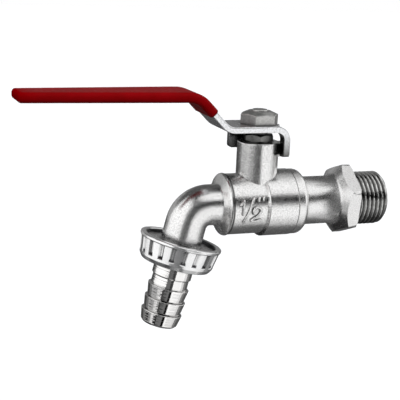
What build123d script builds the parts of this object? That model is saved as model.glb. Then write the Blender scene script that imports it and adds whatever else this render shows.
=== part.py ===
from build123d import *
import os
from math import atan2, cos, degrees, radians, sin, sqrt, tan

os.makedirs("parts", exist_ok=True)

# Garden ball valve tap. Sizes in millimetres.
# Every part is drawn with the stem on the Z axis and the flow along X.
# The supply side is +X, the spout side -X, and up is +Z.
# The finished parts are shifted so that the inlet thread starts at the origin.

# Inlet tailpiece: G1/2 male thread, hexagon and pipe
thread_d = 20.955
thread_len = 13.7
thread_chamfer = 1.2
hex_af = 24.7
hex_turn = 38.0
hex_flat = 3.8
hex_taper = 3.8
hex_chamfer = 1.0
pipe_d = 18.7
stem_to_hex = 39.2
shoulder_len = 4.9
spigot_d = 20.4
shoulder_drop = 0.15

# Housing, stem neck and stop lug
housing_d = 25.6
housing_end = 13.1
band_drop = 1.15
rim_drop = 0.85
band_step = 1.3
step_slope = 0.8
groove_slope = 0.4
rim_width = 0.9
cone_start = -15.6
cone_len = 1.5
neck_d = 15.8
neck_top = 24.2
lug_reach = 9.7
lug_bottom = 18.6
lug_width = 6.2
lug_drop = 0.6
cast_round = 0.5
edge_round = 0.3

# Swan-neck spout and its G3/4 outlet collar
spout_d = 15.6
water_d = 10.0
spout_lead = 3.6
bend_r = 8.8
spout_lean = 14.0
leg_len = 6.4
collar_d = 26.44
collar_drop = 1.3
collar_len = 4.3

# Ball, seats and stem
ball_d = 17.0
chamber_d = 18.4
seat_d = 16.8
seat_face = 4.2
seat_back = 8.4
slot_floor = 5.9
tang_w = 3.2
stem_d = 8.0
stem_collar_d = 11.7
stem_collar_len = 2.0
gland_bore_d = 12.0
gland_floor = 14.0
washer_len = 1.0
packing_len = 1.6
gland_head = 2.9
gland_af = 10.4
gland_turn = 14.8
stem_flats = 6.0
stem_thread_d = 6.0
stem_end = 0.6
hex_relief = 0.15
hex_drop = 0.6

# Lever, grip and nut
strip_t = 2.4
strip_w = 17.0
plate_top = 30.9
rear_end = 9.4
rise_start = -15.2
rise_end = -27.3
rise_bend = 6.5
grip_bend = 9.0
grip_z = 42.0
grip_rise = 0.2
lever_tip = -91.9
tip_w = 12.0
rear_cut = 2.6
tab_w = 4.0
tab_bend = 4.2
tab_round = 1.2
tab_slit = 0.7
tab_bottom = 19.1
ear_w = 6.1
ear_bend = 3.0
ear_bottom = 20.2
coat_t = 0.7
grip_start = -21.1
nut_af = 13.0
nut_turn = -3.5
nut_len = 4.8
nut_crown = 0.68
nut_slope = 0.45

# Union nut, washer and hose tail
union_wall = 0.9
union_flare = 1.5
union_len = 9.7
union_rim = 1.1
union_lip = 1.4
union_groove = 0.35
union_foot = 1.6
union_foot_in = 1.0
pocket_count = 20
pocket_turn = 10.6
pocket_w = 2.2
pocket_depth = 0.9
pocket_len = 5.8
hose_washer_len = 1.5
flange_d = 24.0
flange_len = 1.1
tail_collar_d = 15.2
tail_collar_end = 14.4
tail_neck_d = 14.0
barb_d = 15.9
barb_rise = 0.9
barb_first = 18.6
barb_pitch = 5.05
barb_count = 3
tail_bore_d = 10.4
tail_chamfer = 0.8

# Clearances
run_gap = 0.06
seat_gap = 0.10
stop_gap = 0.30
thread_gap = 0.08

# Derived positions
stem_r = stem_d / 2
water_r = water_d / 2
neck_r = neck_d / 2
housing_r = housing_d / 2
band_r = housing_r - band_drop
rim_r = housing_r - rim_drop
barb_r = barb_d / 2
barb_root_r = barb_r - barb_rise
plate_mid = plate_top - strip_t / 2
plate_under = plate_top - strip_t
cone_end = cone_start + cone_len
packing_floor = gland_floor + washer_len + stem_collar_len
packing_top = packing_floor + 2 * packing_len
nut_top = plate_top + nut_len
tail_end = barb_first + barb_count * barb_pitch
spout_turn = 90 - spout_lean
bend_tangent = bend_r * tan(radians(spout_turn / 2))
spout_corner = cone_start - spout_lead - bend_tangent
leg_dir = Vector(-sin(radians(spout_lean)), 0, -cos(radians(spout_lean)))
outlet_top = Vector(spout_corner, 0, 0) + leg_dir * (bend_tangent + leg_len)
outlet = Plane(origin=outlet_top, x_dir=(-leg_dir.Z, 0, leg_dir.X), z_dir=leg_dir)
collar_end = collar_drop + collar_len
flange_top = collar_end + hose_washer_len
tab_inner = rear_end - strip_t
taper_start = rise_end - grip_bend
taper_len = taper_start - lever_tip
strip_round = 0.17 * strip_t
coat_round = 0.8 * (strip_t / 2 + coat_t)
pipe_r = pipe_d / 2
thread_r = thread_d / 2
shoulder_r = housing_r - shoulder_drop
shoulder_round = 0.84 * (shoulder_r - pipe_r)
cone_angle = atan2(rim_r - spout_d / 2, cone_len)
rim_round = 0.9 * rim_width / tan(cone_angle / 2)
rear_round = 0.95 * (strip_w - tab_w - tab_slit)
lug_near = -strip_w / 2 + tab_w + stop_gap
ear_inner = neck_r + stop_gap
lug_far = lug_near + lug_width


def outline(profile, place):
    corners = [place(p[0], p[1]) for p in profile]
    radii = [p[2] if len(p) == 3 else 0 for p in profile]
    return make_face(FilletPolyline(*corners, radius=radii, close=True))


def turned_x(*profile):
    return revolve(outline(profile, lambda x, r: (x, 0, r)), axis=Axis.X)


def turned_z(*profile):
    return revolve(outline(profile, lambda r, z: (r, 0, z)), axis=Axis.Z)


def tube_z(r_in, r_out, z_low, z_high):
    return turned_z((r_in, z_low), (r_out, z_low), (r_out, z_high), (r_in, z_high))


def block(x0, x1, y0, y1, z0, z1):
    middle = ((x0 + x1) / 2, (y0 + y1) / 2, (z0 + z1) / 2)
    return Pos(*middle) * Box(x1 - x0, y1 - y0, z1 - z0)


def hex_prism(across_flats, z_low, z_high, turn):
    face = RegularPolygon(across_flats / sqrt(3), 6, rotation=turn)
    return extrude(Pos(0, 0, z_low) * face, z_high - z_low)


def water_path(start, end_drop):
    end = outlet_top + leg_dir * end_drop
    return FilletPolyline((start, 0, 0), (spout_corner, 0, 0), end, radius=bend_r)


def round_pipe(diameter, start, end_drop):
    section = Plane(origin=(start, 0, 0), x_dir=(0, 1, 0), z_dir=(-1, 0, 0)) * Circle(diameter / 2)
    return sweep(section, path=water_path(start, end_drop))


def strip(points, radii, section, plane):
    return sweep(plane * section, path=FilletPolyline(*points, radius=radii))


def valve_body():
    lead = cone_start - spout_lead / 2
    housing = turned_x(
        (lead, 0), (lead, spout_d / 2), (cone_start, spout_d / 2, cast_round), (cone_end, rim_r, rim_round),
        (cone_end + rim_width, rim_r), (cone_end + rim_width + groove_slope, band_r),
        (band_step - step_slope, band_r), (band_step, housing_r, edge_round),
        (housing_end, housing_r, edge_round), (housing_end, 0),
    )
    neck = turned_z((0, 0), (neck_r, 0), (neck_r, neck_top, cast_round), (0, neck_top))
    lug = block(0, lug_reach, lug_near, lug_far, lug_bottom, neck_top - lug_drop)
    lug = fillet(lug.edges().filter_by(Axis.Z).sort_by(Axis.X)[-2:], cast_round)
    spout = round_pipe(spout_d, lead, collar_end)
    collar = outlet * turned_z(
        (0, collar_drop), (collar_d / 2, collar_drop, cast_round),
        (collar_d / 2, collar_end, cast_round), (0, collar_end),
    )
    solid = housing + neck + lug + spout + collar
    bores = turned_x(
        (-seat_back, 0), (-seat_back, seat_d / 2), (-seat_face, seat_d / 2), (-seat_face, chamber_d / 2),
        (seat_face, chamber_d / 2), (seat_face, spigot_d / 2 + run_gap),
        (housing_end, spigot_d / 2 + run_gap), (housing_end, 0),
    )
    stem_bore = turned_z(
        (0, 0), (stem_r + run_gap, 0), (stem_r + run_gap, gland_floor), (gland_bore_d / 2, gland_floor),
        (gland_bore_d / 2, neck_top), (0, neck_top),
    )
    return solid - bores - stem_bore - round_pipe(water_d, -seat_face, collar_end)


def inlet_tailpiece():
    hex_r = hex_af / sqrt(3)
    shoulder_end = housing_end + shoulder_len
    hex_start = stem_to_hex - hex_flat - hex_taper
    hex_middle = stem_to_hex - hex_flat / 2
    thread_end = stem_to_hex + thread_len
    pipe = turned_x(
        (seat_face, 0), (seat_face, spigot_d / 2), (housing_end, spigot_d / 2),
        (housing_end, shoulder_r, edge_round), (shoulder_end, shoulder_r, shoulder_round),
        (shoulder_end, pipe_r, edge_round), (hex_middle, pipe_r), (hex_middle, thread_r),
        (thread_end - thread_chamfer, thread_r), (thread_end, thread_r - thread_chamfer), (thread_end, 0),
    )
    taper = turned_x(
        (hex_start, 0), (hex_start, pipe_r - edge_round), (stem_to_hex - hex_flat, hex_r),
        (stem_to_hex - hex_drop * hex_chamfer, hex_r), (stem_to_hex, hex_r - hex_chamfer), (stem_to_hex, 0),
    )
    prism = Plane.YZ * hex_prism(hex_af, hex_start, stem_to_hex, hex_turn)
    waterway = turned_x(
        (seat_face, 0), (seat_face, seat_d / 2), (seat_back, seat_d / 2), (seat_back, water_r),
        (thread_end, water_r), (thread_end, 0),
    )
    return pipe + (taper & prism) - waterway


def ball():
    slot = block(-tang_w / 2 - run_gap, tang_w / 2 + run_gap, -ball_d, ball_d, slot_floor, ball_d)
    port = Rot(0, 90, 0) * Cylinder(water_r, 2 * ball_d)
    return Sphere(ball_d / 2) - port - slot


def ball_seat():
    ring = turned_x(
        (-seat_back, water_r), (-seat_back, seat_d / 2), (-seat_face, seat_d / 2), (-seat_face, water_r),
    )
    return ring - Sphere(ball_d / 2 + seat_gap)


def stem():
    turned = turned_z(
        (0, slot_floor + run_gap), (stem_r, slot_floor + run_gap), (stem_r, gland_floor + washer_len),
        (stem_collar_d / 2, gland_floor + washer_len), (stem_collar_d / 2, packing_floor),
        (stem_r, packing_floor), (stem_r, plate_top), (stem_thread_d / 2, plate_top),
        (stem_thread_d / 2, nut_top + stem_end, cast_round), (0, nut_top + stem_end),
    )
    cheek_top = ball_d / 2 + stop_gap
    for side in (-1, 1):
        cheek = block(0, stem_d, -stem_d, stem_d, 0, cheek_top)
        flat = block(-stem_d, stem_d, 0, stem_d, plate_under, plate_top)
        turned -= Pos(side * (tang_w / 2 + stem_d / 2) - stem_d / 2, 0, 0) * cheek
        turned -= Pos(0, side * (stem_flats / 2 + stem_d / 2) - stem_d / 2, 0) * flat
    return turned


def thrust_washer():
    return tube_z(stem_r + run_gap, gland_bore_d / 2 - run_gap, gland_floor, gland_floor + washer_len)


def packing_ring(index):
    low = packing_floor + index * packing_len
    return tube_z(stem_r + run_gap, gland_bore_d / 2 - run_gap, low, low + packing_len)


def chamfered_hex(across_flats, z_low, z_high, turn):
    corner = across_flats / sqrt(3)
    flat = across_flats / 2 - hex_relief
    drop = hex_drop * (corner - flat)
    dome = turned_z(
        (0, z_low), (flat, z_low), (corner, z_low + drop),
        (corner, z_high - drop), (flat, z_high), (0, z_high),
    )
    return hex_prism(across_flats, z_low, z_high, turn) & dome


def gland_nut():
    plug = tube_z(0, gland_bore_d / 2, packing_top, neck_top)
    head = chamfered_hex(gland_af, neck_top, neck_top + gland_head, gland_turn)
    return plug + head - tube_z(0, stem_r + run_gap, packing_top, neck_top + gland_head)


def lever_path():
    grip_end = grip_z + grip_rise
    return [
        (rear_end, 0, plate_mid), (rise_start, 0, plate_mid),
        (rise_end, 0, grip_z), (lever_tip, 0, grip_end),
    ]


def taper_frame():
    high, tip = [Vector(*p) for p in lever_path()[2:]]
    run = (tip - high).normalized()
    return Plane(origin=tip - run * taper_len, x_dir=(0, 1, 0), z_dir=run)


def blade(grow, corner, tip_corner):
    near = taper_frame()
    far = near.offset(taper_len + grow)
    thick = strip_t + 2 * grow
    wide = near * RectangleRounded(strip_w + 2 * grow, thick, corner)
    narrow = far * RectangleRounded(tip_w + 2 * grow, thick, corner)
    bar = loft([wide, narrow])
    return fillet(bar.faces().sort_by(Axis.X)[0].edges(), tip_corner)


def rear_plan():
    half = strip_w / 2
    rear = rear_end - rear_cut
    face = outline(
        [(taper_start, -half), (taper_start, half), (rear, half, rear_round), (rear, -half)],
        lambda x, y: (x, y, 0),
    )
    return extrude(face, 2 * grip_z)


def lever():
    half = strip_w / 2
    side = Plane(origin=(rear_end, 0, plate_mid), x_dir=(0, 1, 0), z_dir=(-1, 0, 0))
    path = lever_path()[:3] + [taper_frame().origin]
    bent = strip(path, [rise_bend, grip_bend], RectangleRounded(strip_w, strip_t, strip_round), side)
    bent = bent & rear_plan()
    tab_y = -half + tab_w / 2
    bent -= block(tab_inner - tab_bend, rear_end, -half, -half + tab_w + tab_slit, 0, grip_z)
    tab_x = rear_end - strip_t / 2
    tab_start = Plane(origin=(0, tab_y, plate_mid), x_dir=(0, 1, 0), z_dir=(1, 0, 0))
    tab = strip(
        [(0, tab_y, plate_mid), (tab_x, tab_y, plate_mid), (tab_x, tab_y, tab_bottom)],
        [tab_bend], Rectangle(tab_w, strip_t), tab_start,
    )
    tab = fillet(tab.edges().filter_by(Axis.X).group_by(Axis.Z)[0], tab_round)
    ear_y = ear_inner + strip_t / 2
    ear_x = -lug_far - stop_gap - ear_w / 2
    ear_start = Plane(origin=(ear_x, 0, plate_mid), x_dir=(1, 0, 0), z_dir=(0, 1, 0))
    ear = strip(
        [(ear_x, 0, plate_mid), (ear_x, ear_y, plate_mid), (ear_x, ear_y, ear_bottom)],
        [ear_bend], Rectangle(ear_w, strip_t), ear_start,
    )
    ear = fillet(ear.edges().filter_by(Axis.Y).group_by(Axis.Z)[0], tab_round)
    flats = block(-stem_d, stem_d, -stem_flats / 2 - run_gap, stem_flats / 2 + run_gap, 0, grip_z)
    hole = tube_z(0, stem_r + run_gap, 0, grip_z) & flats
    return bent + blade(0, strip_round, 0.9 * strip_round) + tab + ear - hole


def lever_grip():
    _, low, high, _ = [Vector(*p) for p in lever_path()]
    climb = (high - low).normalized()
    start = low + climb * ((low.X - grip_start) / -climb.X)
    section = RectangleRounded(strip_w + 2 * coat_t, strip_t + 2 * coat_t, coat_round)
    mouth = Plane(origin=start, x_dir=(0, 1, 0), z_dir=climb)
    coat = strip([start, high, taper_frame().origin], [grip_bend], section, mouth)
    coat = fillet(coat.faces().sort_by(Axis.X)[-1].edges(), coat_t)
    return coat + blade(coat_t, coat_round, 0.9 * coat_round) - lever()


def lever_nut():
    crown_r = nut_crown * nut_af / 2
    edge = nut_af / sqrt(3) - crown_r
    crown = turned_z(
        (0, plate_top), (crown_r + edge, plate_top), (crown_r + edge, nut_top - nut_slope * edge),
        (crown_r, nut_top), (0, nut_top),
    )
    blank = hex_prism(nut_af, plate_top, nut_top, nut_turn) & crown
    return blank - tube_z(0, stem_thread_d / 2, plate_top, nut_top)


def union_pocket():
    # V groove with a sloping lower end, drawn against the outer surface of the nut
    ramp = 1.2 * pocket_depth
    side_face = outline(
        [(-pocket_depth, 0), (1, 0), (1, pocket_len + 1.2), (-pocket_depth, pocket_len - ramp)],
        lambda r, z: (r, 0, z),
    )
    wedge_face = outline(
        [(-pocket_depth, -pocket_w / 8), (1, -pocket_w), (1, pocket_w), (-pocket_depth, pocket_w / 8)],
        lambda r, t: (r, t, 0),
    )
    return extrude(side_face, 2 * pocket_w, both=True) & extrude(wedge_face, 2 * pocket_len)


def union_nut():
    bore_r = collar_d / 2 + thread_gap
    foot_r = bore_r + union_wall
    rim_edge = foot_r + union_flare
    body_r = rim_edge - union_groove
    lip_hole = barb_r + stop_gap
    pocket_top = union_rim + union_groove
    foot_top = union_len - union_foot
    ring = turned_z(
        (lip_hole, union_len), (lip_hole, union_len - union_lip), (bore_r, union_len - union_lip),
        (bore_r, cast_round), (bore_r + cast_round, 0), (rim_edge, 0, cast_round),
        (rim_edge, union_rim, edge_round), (body_r, pocket_top), (foot_r, foot_top, cast_round),
        (foot_r - union_foot_in, union_len, cast_round),
    )
    lean_in = degrees(atan2(body_r - foot_r, foot_top - pocket_top))
    pocket = Pos(body_r, 0, pocket_top) * Rot(0, -lean_in, 0) * union_pocket()
    pitch = 360 / pocket_count
    return outlet * (ring - [Rot(0, 0, pitch * i + pocket_turn) * pocket for i in range(pocket_count)])


def hose_washer():
    return outlet * tube_z(water_r + cast_round, flange_d / 2, collar_end, flange_top)


def hose_tail():
    neck_x = tail_neck_d / 2
    profile = [
        (tail_bore_d / 2, flange_top), (flange_d / 2, flange_top), (flange_d / 2, flange_top + flange_len),
        (tail_collar_d / 2, flange_top + flange_len), (tail_collar_d / 2, tail_collar_end, edge_round),
        (neck_x, tail_collar_end + cast_round), (barb_root_r, barb_first),
    ]
    for i in range(barb_count):
        top = barb_first + i * barb_pitch
        profile += [(barb_r, top, edge_round / 2), (barb_root_r, top + barb_pitch)]
    profile[-1] = (barb_root_r, tail_end - tail_chamfer)
    profile += [(barb_root_r - tail_chamfer, tail_end), (tail_bore_d / 2, tail_end)]
    return outlet * turned_z(*profile)


nodes = {
    "valve_body": valve_body(),
    "inlet_tailpiece": inlet_tailpiece(),
    "ball": ball(),
    "seat_outlet": ball_seat(),
    "seat_inlet": mirror(ball_seat(), about=Plane.YZ),
    "stem": stem(),
    "thrust_washer": thrust_washer(),
    "packing_lower": packing_ring(0),
    "packing_upper": packing_ring(1),
    "gland_nut": gland_nut(),
    "lever": lever(),
    "lever_grip": lever_grip(),
    "lever_nut": lever_nut(),
    "union_nut": union_nut(),
    "hose_washer": hose_washer(),
    "hose_tail": hose_tail(),
}

for name, shape in nodes.items():
    export_step(Pos(-stem_to_hex, 0, 0) * shape, f"parts/{name}.step")
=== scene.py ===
import bpy, bmesh, math
from mathutils import Matrix, Vector


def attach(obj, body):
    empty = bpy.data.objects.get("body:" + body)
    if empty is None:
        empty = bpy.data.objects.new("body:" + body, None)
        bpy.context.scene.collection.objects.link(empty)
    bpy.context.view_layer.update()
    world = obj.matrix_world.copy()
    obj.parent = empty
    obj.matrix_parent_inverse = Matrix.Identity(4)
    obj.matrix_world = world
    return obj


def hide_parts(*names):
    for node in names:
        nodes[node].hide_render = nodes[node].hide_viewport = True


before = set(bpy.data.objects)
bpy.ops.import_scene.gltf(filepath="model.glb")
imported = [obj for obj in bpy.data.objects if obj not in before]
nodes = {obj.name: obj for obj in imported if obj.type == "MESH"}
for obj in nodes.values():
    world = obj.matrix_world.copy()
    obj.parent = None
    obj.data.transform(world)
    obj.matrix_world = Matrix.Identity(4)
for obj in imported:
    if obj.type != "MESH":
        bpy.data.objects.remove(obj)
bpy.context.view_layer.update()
scene = bpy.context.scene
MM = 0.001
X_AXIS = (1, 0, 0)
Z_AXIS = (0, 0, 1)

# Camera at the photograph's viewing angle
PHOTO_PIXELS = 400
FOCAL_PIXELS = 1061.153
SENSOR = 36.0


def add_camera(azimuth, elevation, roll, distance, target):
    a, e, r = (math.radians(v) for v in (azimuth, elevation, roll))
    forward = Vector((-math.sin(a) * math.cos(e), math.cos(a) * math.cos(e), -math.sin(e)))
    right = Vector((math.cos(a), math.sin(a), 0))
    up = right.cross(forward)
    x_axis = right * math.cos(r) + up * math.sin(r)
    y_axis = up * math.cos(r) - right * math.sin(r)
    data = bpy.data.cameras.new("camera")
    data.lens = FOCAL_PIXELS * SENSOR / PHOTO_PIXELS
    data.sensor_width = SENSOR
    data.clip_start = 0.01
    camera = bpy.data.objects.new("camera", data)
    axes = Matrix((x_axis, y_axis, -forward)).transposed().to_4x4()
    camera.matrix_world = Matrix.Translation(Vector(target) - forward * distance) @ axes
    scene.collection.objects.link(camera)
    scene.camera = camera


add_camera(
    azimuth=-20.865, elevation=13.54, roll=2.458, distance=0.399543, target=(-0.06169, 0, 0.002013),
)

# Shader nodes
WHITE_TONE = (1, 1, 1)
SOFT_SAMPLES = 8


def grey(tone):
    return (tone, tone, tone)


def node(tree, kind, x=0, y=0, **inputs):
    """A new node at that place in the tree, with values for the inputs that are named."""
    n = tree.nodes.new(kind)
    n.location = (x, y)
    for key, value in inputs.items():
        n.inputs[key.replace("_", " ")].default_value = value
    return n


def span(t, fac, low, high, in_low, in_high):
    """From low to high while the input goes from in_low to in_high."""
    n = node(t, "ShaderNodeMapRange", -700, -300, From_Min=in_low, From_Max=in_high, To_Min=low, To_Max=high)
    t.links.new(fac, n.inputs["Value"])
    return n.outputs["Result"]


def rise(t, place, ends):
    """From 0 to 1 between two places in millimetres."""
    return span(t, place, 0.0, 1.0, ends[0] * MM, ends[1] * MM)


def fall(t, place, ends):
    """From 1 to 0 between two places in millimetres."""
    return span(t, place, 1.0, 0.0, ends[0] * MM, ends[1] * MM)


def number_math(t, kind, a, b):
    n = node(t, "ShaderNodeMath", -700, -700)
    n.operation = kind
    for socket, v in zip(n.inputs, (a, b)):
        if isinstance(v, (int, float)):
            socket.default_value = v
        else:
            t.links.new(v, socket)
    return n.outputs[0]


def vector_math(t, kind, a, b, out="Vector"):
    n = node(t, "ShaderNodeVectorMath", -900, -700)
    n.operation = kind
    t.links.new(a, n.inputs[0])
    if isinstance(b, tuple):
        n.inputs[1].default_value = b
    elif b is not None:
        t.links.new(b, n.inputs[1])
    return n.outputs[out]


def place_along(t, coords, axis):
    return vector_math(t, "DOT_PRODUCT", coords, axis, "Value")


def ramp(t, fac, low, high):
    """A colour that goes from one to another, each given with its place as (place, colour)."""
    n = node(t, "ShaderNodeValToRGB", -700, 0)
    for stop, (place, colour) in zip(n.color_ramp.elements, (low, high)):
        stop.position = place
        stop.color = (*colour, 1)
    t.links.new(fac, n.inputs[0])
    return n.outputs["Color"]


def times(t, colour, shade):
    mix = node(t, "ShaderNodeMix", -200, 300)
    mix.data_type = "RGBA"
    mix.blend_type = "MULTIPLY"
    mix.inputs["Factor"].default_value = 1.0
    t.links.new(colour, mix.inputs["A"])
    t.links.new(shade, mix.inputs["B"])
    return mix.outputs["Result"]


# Light and surroundings
scene.view_settings.view_transform = "Standard"
STUDIO = Vector((-0.045, 0, 0))
FILL_TINT = (0.95, 0.97, 1.0)
FILL_HEIGHT = (-0.35, 0.25)
FILL_STRENGTH = (0.16, 0.58)
FLOOR_Z = -0.30
FLOOR_HALF = 6.0
FLOOR_TONE = 0.86
FLOOR_ROUGH = 0.9
FLOOR_GLOW = 0.26
CARD_RADIUS = 2.0
CARD_CELLS = 12


def white_world():
    """White behind the object and in its reflections, with a softer fill that is dimmer from below."""
    world = bpy.data.worlds.new("studio")
    world.use_nodes = True
    scene.world = world
    t = world.node_tree
    t.nodes.clear()
    path = node(t, "ShaderNodeLightPath")
    seen = path.outputs["Is Camera Ray"]
    for ray in ("Is Glossy Ray", "Is Transmission Ray"):
        seen = number_math(t, "MAXIMUM", seen, path.outputs[ray])
    fill = node(t, "ShaderNodeBackground", Color=(*FILL_TINT, 1))
    place = node(t, "ShaderNodeTexCoord")
    height = place_along(t, place.outputs["Generated"], Z_AXIS)
    t.links.new(span(t, height, *FILL_STRENGTH, *FILL_HEIGHT), fill.inputs["Strength"])
    shown = node(t, "ShaderNodeBackground", Color=(*WHITE_TONE, 1), Strength=1.0)
    mix = node(t, "ShaderNodeMixShader")
    t.links.new(seen, mix.inputs[0])
    t.links.new(fill.outputs[0], mix.inputs[1])
    t.links.new(shown.outputs[0], mix.inputs[2])
    out = node(t, "ShaderNodeOutputWorld")
    t.links.new(mix.outputs[0], out.inputs[0])


white_world()


def studio_mesh(name, verts, faces):
    """A mesh of the surroundings and the nodes of its own material."""
    mesh = bpy.data.meshes.new(name)
    mesh.from_pydata(verts, [], faces)
    obj = bpy.data.objects.new(name, mesh)
    scene.collection.objects.link(obj)
    mat = bpy.data.materials.new(name)
    mat.use_nodes = True
    mesh.materials.append(mat)
    return obj, mat.node_tree


def floor():
    """A pale floor that keeps the shadow."""
    corners = [(x * FLOOR_HALF, y * FLOOR_HALF, FLOOR_Z) for x, y in ((-1, -1), (1, -1), (1, 1), (-1, 1))]
    obj, t = studio_mesh("floor", corners, [(0, 1, 2, 3)])
    shader = t.nodes["Principled BSDF"]
    shader.inputs["Base Color"].default_value = (*grey(FLOOR_TONE), 1)
    shader.inputs["Roughness"].default_value = FLOOR_ROUGH
    shader.inputs["Specular IOR Level"].default_value = 0.0
    path = node(t, "ShaderNodeLightPath")
    glow = node(t, "ShaderNodeEmission", Color=(*WHITE_TONE, 1))
    strength = number_math(t, "MULTIPLY", path.outputs["Is Camera Ray"], FLOOR_GLOW)
    t.links.new(strength, glow.inputs["Strength"])
    add = node(t, "ShaderNodeAddShader")
    t.links.new(shader.outputs[0], add.inputs[0])
    t.links.new(glow.outputs[0], add.inputs[1])
    t.links.new(add.outputs[0], t.nodes["Material Output"].inputs["Surface"])
    obj.visible_glossy = False
    obj.visible_diffuse = False


floor()


def card(name, verts, faces, shade):
    """A card far around the object that only reflections show."""
    obj, t = studio_mesh(name, verts, faces)
    t.nodes.remove(t.nodes["Principled BSDF"])
    glow = node(t, "ShaderNodeEmission", Color=(*grey(shade), 1))
    t.links.new(glow.outputs[0], t.nodes["Material Output"].inputs["Surface"])
    obj.visible_camera = False
    obj.visible_diffuse = False
    obj.visible_transmission = False
    obj.visible_shadow = False


def toward(az, el, radius=CARD_RADIUS):
    """The point at that bearing from -Y towards +X and that height, in degrees."""
    a, e = math.radians(az), math.radians(el)
    return STUDIO + Vector((math.sin(a) * math.cos(e), -math.cos(a) * math.cos(e), math.sin(e))) * radius


def flag(name, az, el, shade):
    """A card between two bearings and two heights."""
    row = CARD_CELLS + 1
    verts, faces = [], []
    for j in range(row):
        height = el[0] + (el[1] - el[0]) * j / CARD_CELLS
        for i in range(row):
            verts.append(toward(az[0] + (az[1] - az[0]) * i / CARD_CELLS, height))
    for j in range(CARD_CELLS):
        for i in range(CARD_CELLS):
            k = j * row + i
            faces.append((k, k + 1, k + row + 1, k + row))
    card(name, verts, faces, shade)


def slant_flag(name, line, half, shade, radius):
    """A strip of that half width in elevation along a line of bearings and heights."""
    verts = [toward(az, el + side * half, radius) for az, el in line for side in (-1, 1)]
    faces = [(2 * i, 2 * i + 2, 2 * i + 3, 2 * i + 1) for i in range(len(line) - 1)]
    card(name, verts, faces, shade)


slant = [(-56, 72), (-34, 54), (-18, 42), (-4, 32), (12, 23), (28, 20), (46, 17)]
slant_foot = [(0, 19), (12, 12), (28, 6), (46, 2)]
slant_flag("flag_slant", slant, 13, 0.0, CARD_RADIUS - 0.05)
slant_flag("flag_slant_foot", slant_foot, 8, 0.32, CARD_RADIUS - 0.03)
flag("flag_front", (-40, -15), (-17, 34), 0.13)
flag("flag_front_dark", (-15, 1), (-17, 34), 0.04)
flag("flag_front_gap", (-54, -26), (-28, -18), 0.05)
flag("flag_front_step", (-26, 0), (-28, -17), 0.13)
flag("flag_front_left", (-66, -40), (-18, -6), 0.18)
flag("flag_front_low", (-17, -2), (-62, -28), 0.0)
flag("flag_floor_front", (-51, -17), (-56, -28), 0.16)
flag("flag_left_soft", (-121, -66), (-18, -6), 0.42)
flag("flag_left_low", (-69, -51), (-60, -23), 0.0)
flag("flag_left_edge", (-121, -98), (-46, -18), 0.01)
flag("flag_left_gap", (-98, -84), (-32, -18), 0.24)
flag("flag_left_gap_soft", (-84, -69), (-32, -18), 0.72)
flag("flag_left_gap_low", (-98, -69), (-60, -32), 0.05)
flag("flag_left_mid", (-142, -121), (-34, -13), 0.17)
flag("flag_left_mid_high", (-142, -121), (-13, -4), 0.13)
flag("flag_left_far", (-180, -142), (-34, -4), 0.06)
flag("flag_left_under", (-180, -97), (-60, -34), 0.02)
flag("flag_back_left", (-180, -124), (26, 88), 0.08)
flag("flag_back_left_mid", (-180, -130), (-4, 26), 0.34)
flag("flag_top_left", (-124, -30), (62, 88), 0.16)
flag("flag_top", (-30, 80), (72, 89), 0.32)
flag("flag_back_right", (140, 180), (20, 88), 0.09)
flag("flag_back_right_edge", (140, 150), (-4, 20), 0.10)
flag("flag_back_right_mid", (150, 180), (-4, 20), 0.20)
flag("flag_back_right_low", (124, 140), (-4, 34), 0.10)
flag("flag_top_right", (114, 140), (34, 88), 0.42)
flag("flag_top_right_soft", (82, 114), (52, 88), 0.75)
flag("flag_right_soft", (58, 78), (-60, -4), 0.70)
flag("flag_right_low", (78, 102), (-62, -4), 0.20)
flag("flag_right_far", (102, 180), (-62, -4), 0.09)
flag("soft_left", (-112, -37), (-1, 56), 1.12)
flag("flag_lower", (10, 58), (-54, -41), 0.74)
flag("flag_lowest", (-2, 58), (-88, -54), 0.52)
flag("flag_under_left", (-180, -2), (-88, -60), 0.10)
flag("flag_under_right", (58, 180), (-88, -60), 0.12)


def sun(name, side, strength, angle):
    """A broad soft light from that side, the same all over the floor."""
    data = bpy.data.lights.new(name, "SUN")
    data.energy = strength
    data.angle = math.radians(angle)
    obj = bpy.data.objects.new(name, data)
    obj.rotation_euler = Vector(side).to_track_quat("Z", "Y").to_euler()
    obj.location = STUDIO + Vector(side)
    scene.collection.objects.link(obj)
    obj.visible_glossy = False


sun("key", (-0.5, -0.6, 1.0), 1.1, 25)
sun("fill", (0.7, -0.8, 0.6), 0.6, 40)


# Materials, with places in millimetres along X, up Z or down the hose tail from the ring nut's rim
LEAN = math.radians(14.0)
TAIL_AXIS = (-math.sin(LEAN), 0, -math.cos(LEAN))
OUTLET = (-68.487, 0, -12.881)
# Places of the ring nut's bore and grooves, which set where its painted shade falls.
NUT_BORE = (13.4, 13.7)
NUT_TOP_R = 15.35
NUT_FOOT_R = 14.2
NUT_GROOVE_TOP = 1.45
NUT_GROOVE_LOW = (5.6, 6.3)
NUT_GROOVE_END = 8.1
NUT_GROOVE_DEPTH = (0.05, 0.75)
NUT_GROOVE_SUNK = (0.10, 0.35)
NUT_FOOT = (7.5, 7.7)
NUT_THREAD_END = (6.5, 7.5)
SKIRT_EASE = 0.17
# Place along X of the painted shade line in the seam beside the band, and its half widths.
BAND_SEAM_SHADE = -52.2
SEAM_SHADE_HALF = (0.25, 0.65)
# Places along X past which the tailpiece's colour is darker.
HEX_DARKER = (-9.0, -6.5)
# Heights between which the lever's painted shade under its plate darkens.
LEVER_SHADE_HEIGHTS = (20.0, 28.3)
GRIP_TIP = (-131.0, -124.0)
GRIP_GLOSS = 0.035
GRAIN_LOW = 0.3
GRAIN_HIGH = 0.7


def material(name, metallic=0.0):
    mat = bpy.data.materials.new(name)
    mat.use_nodes = True
    t = mat.node_tree
    shader = t.nodes["Principled BSDF"]
    shader.inputs["Metallic"].default_value = metallic
    place = node(t, "ShaderNodeTexCoord", -1200, 0)
    return mat, t, shader, place.outputs["Object"]


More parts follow.
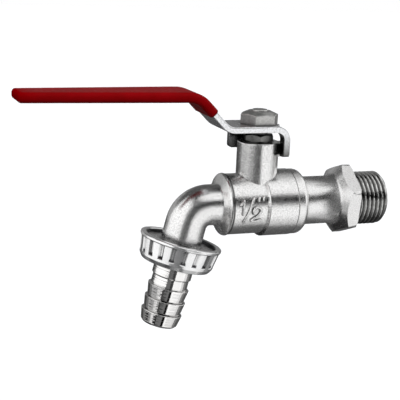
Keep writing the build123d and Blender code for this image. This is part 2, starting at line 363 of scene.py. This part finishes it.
def grain(t, coords, scale, detail=3, rough=0.55):
    n = node(t, "ShaderNodeTexNoise", -1000, 0, Scale=scale, Detail=detail, Roughness=rough)
    t.links.new(coords, n.inputs["Vector"])
    return n.outputs["Fac"]


def mottle(t, fac, dark, light):
    """A colour between two tones that follows a grain."""
    return ramp(t, fac, (GRAIN_LOW, dark), (GRAIN_HIGH, light))


def uneven(t, fac, shader, rough):
    """A roughness between two values that follows a grain."""
    t.links.new(span(t, fac, *rough, GRAIN_LOW, GRAIN_HIGH), shader.inputs["Roughness"])


def bump(t, shader, height, strength, depth, edge=0.0, facing=None):
    """Fine relief, over edges rounded by a radius or over another normal where these are given."""
    n = node(t, "ShaderNodeBump", -300, -300, Strength=strength, Distance=depth)
    if edge:
        soft = node(t, "ShaderNodeBevel", -500, -500, Radius=edge)
        soft.samples = SOFT_SAMPLES
        facing = soft.outputs["Normal"]
    if facing is not None:
        t.links.new(facing, n.inputs["Normal"])
    t.links.new(height, n.inputs["Height"])
    t.links.new(n.outputs["Normal"], shader.inputs["Normal"])


def paint_crevice_shade(t, colour, shader, reach, dark):
    """Painted shade: darkens the colour where other metal stands close by."""
    ao = node(t, "ShaderNodeAmbientOcclusion", -500, 300, Distance=reach)
    ao.samples = SOFT_SAMPLES
    shade = ramp(t, ao.outputs["AO"], (0.28, grey(dark)), (0.88, WHITE_TONE))
    t.links.new(times(t, colour, shade), shader.inputs["Base Color"])


def from_outlet(t, coords):
    """Distance down the hose tail's axis from the ring nut's rim, and distance from that axis."""
    offset = vector_math(t, "SUBTRACT", coords, tuple(v * MM for v in OUTLET))
    down = place_along(t, offset, TAIL_AXIS)
    across = vector_math(t, "LENGTH", vector_math(t, "CROSS_PRODUCT", offset, TAIL_AXIS), None, "Value")
    return down, across


def nickel(name, rough, pit, darker_past=None, shade_seam=None):
    """Satin plate, darker from between two places along the pipe onwards, with painted shade along a seam,
    where these are given.
    """
    mat, t, s, c = material(name, 1.0)
    fine = grain(t, c, 2200, rough=0.6)
    broad = grain(t, c, 420)
    tint = mottle(t, broad, (0.93, 0.925, 0.92), (1.0, 0.995, 0.99))
    pits = ramp(t, fine, (0.36, grey(pit)), (0.58, WHITE_TONE))
    skin = times(t, tint, pits)
    # Darker from between two places along X onwards.
    if darker_past:
        darker = rise(t, place_along(t, c, X_AXIS), darker_past)
        skin = times(t, skin, ramp(t, darker, (0.0, WHITE_TONE), (1.0, grey(0.90))))
    # Painted shade: a dark line along the seam beside the recessed band.
    if shade_seam:
        away = number_math(t, "SUBTRACT", place_along(t, c, X_AXIS), shade_seam * MM)
        line = rise(t, number_math(t, "ABSOLUTE", away, 0.0), SEAM_SHADE_HALF)
        skin = times(t, skin, ramp(t, line, (0.0, grey(0.15)), (1.0, WHITE_TONE)))
    # Painted shade where other metal stands close by.
    paint_crevice_shade(t, skin, s, 0.002, 0.03)
    uneven(t, broad, s, rough)
    bump(t, s, fine, 0.5, 0.00006)
    return mat


def turned_rings(t, coords, scale):
    """Fine uneven lines around the hose tail's axis."""
    rings = node(t, "ShaderNodeTexNoise", -800, -500, Scale=scale, Detail=3)
    rings.noise_dimensions = "1D"
    t.links.new(place_along(t, coords, TAIL_AXIS), rings.inputs["W"])
    return rings.outputs["Fac"]


def chrome(name, dark, light, rough, lathe, crevice_shade_tone=0.2):
    """Bright plate, with lathe lines around the hose tail's axis of the strength given, and painted shade of
    the tone given in crevices.
    """
    mat, t, s, c = material(name, 1.0)
    broad = grain(t, c, 300)
    # Painted shade where other metal stands close by.
    paint_crevice_shade(t, mottle(t, broad, dark, light), s, 0.003, crevice_shade_tone)
    uneven(t, broad, s, rough)
    bump(t, s, turned_rings(t, c, 1100), lathe, 0.00008)
    return mat


def ring_nut_chrome():
    """Bright plate, with painted shade in the grooves, at the grooves' ends and in the thread, and with the
    skirt shaded as if upright.
    """
    mat, t, s, c = material("ring_nut_chrome", 0.85)
    broad = grain(t, c, 300)
    down, across = from_outlet(t, c)
    skin = span(t, down, NUT_TOP_R * MM, NUT_FOOT_R * MM, NUT_GROOVE_TOP * MM, NUT_GROOVE_END * MM)
    depth = number_math(t, "SUBTRACT", skin, across)
    depth = number_math(t, "MULTIPLY", depth, fall(t, down, NUT_FOOT))
    # Painted shade: darker deeper in the grooves, darkest at their lower ends and inside the bore and
    # thread.
    groove_shade = ramp(t, rise(t, depth, NUT_GROOVE_DEPTH), (0.0, WHITE_TONE), (1.0, grey(0.85)))
    low = number_math(t, "MULTIPLY", rise(t, down, NUT_GROOVE_LOW), rise(t, depth, NUT_GROOVE_SUNK))
    bore_shade = number_math(t, "MULTIPLY", fall(t, across, NUT_BORE), fall(t, down, NUT_THREAD_END))
    nut_painted_shade = number_math(t, "MAXIMUM", low, bore_shade)
    shade = times(t, groove_shade, ramp(t, nut_painted_shade, (0.0, WHITE_TONE), (1.0, (0.05, 0.05, 0.055))))
    tint = mottle(t, broad, grey(0.88), grey(0.98))
    # Painted shade where other metal stands close by.
    paint_crevice_shade(t, times(t, tint, shade), s, 0.003, 0.2)
    uneven(t, broad, s, (0.16, 0.22))
    raised = tuple(-SKIRT_EASE * v for v in TAIL_AXIS)
    normal = node(t, "ShaderNodeNewGeometry", -900, -900).outputs["Normal"]
    eased = vector_math(t, "NORMALIZE", vector_math(t, "ADD", normal, raised), None)
    bump(t, s, grain(t, c, 900), 0.12, 0.00005, facing=eased)
    return mat


def zinc(name, dark, light, rough, reach, shade_below=None):
    """Plated steel, with painted shade darkening it from the upper of two heights down to the lower where
    these are given.
    """
    mat, t, s, c = material(name, 1.0)
    broad = grain(t, c, 350, detail=4)
    specks = ramp(t, grain(t, c, 1300), (0.38, (0.86, 0.86, 0.85)), (0.56, WHITE_TONE))
    skin = times(t, mottle(t, broad, dark, light), specks)
    if shade_below:
        # Painted shade under the lever's plate: darker towards the lower ends of its tab and ear.
        above_shade = rise(t, place_along(t, c, Z_AXIS), shade_below)
        skin = times(t, skin, ramp(t, above_shade, (0.0, (0.22, 0.22, 0.21)), (1.0, WHITE_TONE)))
    # Painted shade where other metal stands close by.
    paint_crevice_shade(t, skin, s, reach, 0.06)
    uneven(t, broad, s, rough)
    bump(t, s, grain(t, c, 1500), 0.3, 0.00007, edge=0.0005)
    return mat


def red_grip():
    """Dipped plastic, less glossy at the lever's tip."""
    mat, t, s, c = material("red_grip")
    red = mottle(t, grain(t, c, 120), (0.23, 0.0, 0.001), (0.29, 0.0, 0.002))
    t.links.new(red, s.inputs["Base Color"])
    uneven(t, grain(t, c, 700), s, (0.32, 0.44))
    gloss = span(t, place_along(t, c, X_AXIS), 0.0, GRIP_GLOSS, GRIP_TIP[0] * MM, GRIP_TIP[1] * MM)
    t.links.new(gloss, s.inputs["Specular IOR Level"])
    bump(t, s, grain(t, c, 500, detail=2), 0.15, 0.00008, edge=0.0016)
    return mat


def plain(name, dark, light, rough, scale):
    """Soft sealing material with a faint grain."""
    mat, t, s, c = material(name)
    n = grain(t, c, scale)
    t.links.new(mottle(t, n, dark, light), s.inputs["Base Color"])
    uneven(t, n, s, rough)
    bump(t, s, grain(t, c, scale * 4, detail=2), 0.1, 0.00004)
    return mat


NICKEL = nickel("satin_nickel", (0.21, 0.28), 0.76, shade_seam=BAND_SEAM_SHADE)
RED = red_grip()
CAST = nickel("cast_nickel", (0.24, 0.30), 0.84, darker_past=HEX_DARKER)
CHROME = chrome("bright_chrome", (0.90, 0.89, 0.88), (1.0, 0.99, 0.98), (0.05, 0.09), 0.7)
FIGURE = chrome("rubbed_nickel", (0.93, 0.925, 0.92), (1.0, 0.995, 0.99), (0.10, 0.16), 0.0, 0.02)
UNION = ring_nut_chrome()
THREAD = chrome("cut_thread", (0.66, 0.66, 0.65), (0.80, 0.80, 0.79), (0.12, 0.20), 0.0, 0.03)
ZINC = zinc("zinc_steel", (0.88, 0.89, 0.91), (0.97, 0.98, 1.0), (0.20, 0.28), 0.010, LEVER_SHADE_HEIGHTS)
BOLT = zinc("dull_zinc", (0.60, 0.60, 0.59), (0.80, 0.80, 0.78), (0.34, 0.44), 0.004)
# The gland nut's zinc is painted darker as shade under the lever's plate.
GLAND = zinc("zinc_in_painted_shade", (0.34, 0.34, 0.33), (0.46, 0.46, 0.45), (0.26, 0.36), 0.012)
WHITE = plain("white_seat", (0.80, 0.80, 0.77), (0.88, 0.88, 0.86), (0.35, 0.5), 300)
RUBBER = plain("black_rubber", grey(0.02), grey(0.035), (0.55, 0.7), 400)
FINISH = {
    "valve_body": NICKEL, "inlet_tailpiece": CAST, "gland_nut": GLAND, "ball": CHROME, "stem": BOLT,
    "lever": ZINC, "lever_nut": BOLT, "lever_grip": RED, "union_nut": UNION, "hose_tail": CHROME,
    "hose_washer": RUBBER,
}
for name, obj in nodes.items():
    obj.data.materials.clear()
    obj.data.materials.append(FINISH.get(name, WHITE))


def new_piece(mesh, crease):
    """A piece of the body with its mesh's name, sharp at edges over that angle in degrees."""
    mesh.shade_smooth()
    mesh.set_sharp_from_angle(angle=math.radians(crease))
    obj = bpy.data.objects.new(mesh.name, mesh)
    scene.collection.objects.link(obj)
    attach(obj, "body")
    return obj


# Raised figures on the recessed band: 1/2 and an inch mark
BAND_R = 11.65
STROKE_HALF = 0.52
STROKE_HEIGHT = 0.95
STROKE_SUNK = 0.06
STROKE_SIDES = 9
STROKE_CREASE = 60
STROKE_CAP = [math.radians(v) for v in (85, 60, 30)]
CURVE_STEPS = 5


def curve_between(p, q, r, w, u):
    """A value from q to r at share u, led by its neighbours p and w."""
    bend = (2 * p - 5 * q + 4 * r - w) * u ** 2 + (3 * q - p - 3 * r + w) * u ** 3
    return 0.5 * (2 * q + (r - p) * u + bend)


def smooth_line(points):
    """Points along a curve through the given ones."""
    ends = [points[0]] + points + [points[-1]]
    out = []
    for a, b, c, d in zip(ends, ends[1:], ends[2:], ends[3:]):
        for k in range(CURVE_STEPS):
            out.append(tuple(curve_between(*axis, k / CURVE_STEPS) for axis in zip(a, b, c, d)))
    return out + [points[-1]]


def rounded_end(ring, out):
    """Shrinking rings past the end of a stroke, outwards along it or back."""
    (x, a), (tx, ta), _ = ring
    rings = []
    for v in STROKE_CAP:
        reach = out * STROKE_HALF * math.sin(v)
        rings.append(((x + tx * reach, a + ta * reach), (tx, ta), math.cos(v)))
    return rings


def raised_stroke(line, verts, faces):
    """A rounded ridge along a line drawn as (place along X, arc up the band) in millimetres."""
    rings = []
    last = len(line) - 1
    for i, (x, a) in enumerate(line):
        x0, a0 = line[max(i - 1, 0)]
        x1, a1 = line[min(i + 1, last)]
        length = math.hypot(x1 - x0, a1 - a0)
        rings.append(((x, a), ((x1 - x0) / length, (a1 - a0) / length), 1.0))
    rings = rounded_end(rings[0], -1) + rings + rounded_end(rings[-1], 1)[::-1]
    first = len(verts)
    for (x, a), (tx, ta), grow in rings:
        for k in range(STROKE_SIDES):
            v = math.pi * k / (STROKE_SIDES - 1)
            off = STROKE_HALF * grow * math.cos(v)
            r = BAND_R + STROKE_HEIGHT * grow * math.sin(v) - STROKE_SUNK
            px, arc = x - ta * off, (a + tx * off) / BAND_R
            verts.append(Vector((px, -r * math.cos(arc), r * math.sin(arc))) * MM)
    for i in range(len(rings) - 1):
        for k in range(STROKE_SIDES - 1):
            j = first + i * STROKE_SIDES + k
            faces.append((j, j + 1, j + STROKE_SIDES + 1, j + STROKE_SIDES))


def figures():
    """All the strokes as one mesh."""
    verts, faces = [], []
    one = [(-49.8, 2.1), (-48.45, 3.75), (-48.5, 2.6), (-48.85, -1.3)]
    slash = [(-44.25, 4.6), (-46.2, 0.0), (-48.2, -4.55)]
    two = smooth_line([
        (-44.6, -1.15), (-44.75, -0.1), (-44.0, 0.95), (-42.9, 1.1), (-41.9, 0.45), (-41.8, -0.7),
        (-42.6, -1.9), (-44.2, -3.0), (-45.2, -3.95),
    ])
    base = [(-45.2, -3.95), (-43.4, -4.25), (-41.4, -3.95)]
    marks = [[(-42.15, 4.6), (-42.45, 3.5)], [(-40.35, 4.75), (-40.6, 3.7)]]
    for line in (one[:2], one[1:], slash, two, base, *marks):
        raised_stroke(line, verts, faces)
    mesh = bpy.data.meshes.new("size_figures")
    mesh.from_pydata([tuple(v) for v in verts], [], faces)
    mesh.update()
    mesh.materials.append(FIGURE)
    new_piece(mesh, STROKE_CREASE)


figures()


# Inlet tailpiece with its pipe thread cut as a helix
THREAD_R = 20.955 / 2
THREAD_LEN = 13.7
THREAD_CHAMFER = 1.2
THREAD_PITCH = 1.814
THREAD_DEPTH = 1.16
THREAD_AROUND = 144
THREAD_ROWS = 91
THREAD_CREASE = 20
CREST_SHARE = 0.14
FLANK_SHARE = 0.72
STRAIGHT_SHARE = 0.85
BORE_R = 5.0
BORE_BEVEL = 0.5
BEVEL_DEPTH = 0.4
NEAR_FACE = 0.02
WELD = 0.001


def thread_radius(x, turn):
    """Radius of the thread at that place and share of a turn, inside the cone of its chamfer."""
    phase = (x / THREAD_PITCH - turn) % 1.0
    slope = min(max((abs(2 * phase - 1) - CREST_SHARE) / FLANK_SHARE, 0.0), 1.0)
    rounding = slope * slope * (3 - 2 * slope)
    r = THREAD_R - THREAD_DEPTH * (STRAIGHT_SHARE * slope + (1 - STRAIGHT_SHARE) * rounding)
    cone = THREAD_R - (x - THREAD_LEN + THREAD_CHAMFER)
    return min(r, cone)


def ring_points(x, radius):
    """Points around the inlet's axis, with a radius for each share of a turn."""
    points = []
    for i in range(THREAD_AROUND):
        a = 2 * math.pi * i / THREAD_AROUND
        r = radius(i / THREAD_AROUND)
        points.append(Vector((x, r * math.cos(a), r * math.sin(a))) * MM)
    return points


def in_plain_thread(face):
    """Whether a face of the solid lies past the hexagon's end face, which stays."""
    edge = NEAR_FACE * MM
    end_face = abs(face.normal.x) > 0.99 and all(abs(v.co.x) < edge for v in face.verts)
    return all(v.co.x > -edge for v in face.verts) and not end_face


def threaded_tailpiece():
    """The solid's mesh with the plain threaded end swapped for a real thread."""
    bm = bmesh.new()
    bm.from_mesh(nodes["inlet_tailpiece"].data)
    for layer in list(bm.loops.layers.uv):
        bm.loops.layers.uv.remove(layer)
    bmesh.ops.remove_doubles(bm, verts=bm.verts, dist=WELD * MM)
    bmesh.ops.delete(bm, geom=[f for f in bm.faces if in_plain_thread(f)], context="FACES")
    rows = [THREAD_LEN * j / (THREAD_ROWS - 1) for j in range(THREAD_ROWS)]
    rings = [ring_points(x, lambda turn: thread_radius(x, turn)) for x in rows]
    rings.append(ring_points(THREAD_LEN, lambda turn: BORE_R + BORE_BEVEL))
    rings.append(ring_points(THREAD_LEN - BEVEL_DEPTH, lambda turn: BORE_R))
    grid = [[bm.verts.new(point) for point in ring] for ring in rings]
    for low, high in zip(grid, grid[1:]):
        for i in range(THREAD_AROUND):
            k = (i + 1) % THREAD_AROUND
            bm.faces.new((low[i], low[k], high[k], high[i]))
    mesh = bpy.data.meshes.new("inlet_tailpiece_threaded")
    bm.to_mesh(mesh)
    bm.free()
    mesh.materials.clear()
    mesh.materials.append(CAST)
    mesh.materials.append(THREAD)
    for poly in mesh.polygons:
        outside = poly.center.yz.length > (BORE_R + BORE_BEVEL) * MM
        poly.material_index = 1 if poly.center.x > NEAR_FACE * MM and outside else 0
    obj = new_piece(mesh, THREAD_CREASE)
    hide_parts("inlet_tailpiece")


threaded_tailpiece()
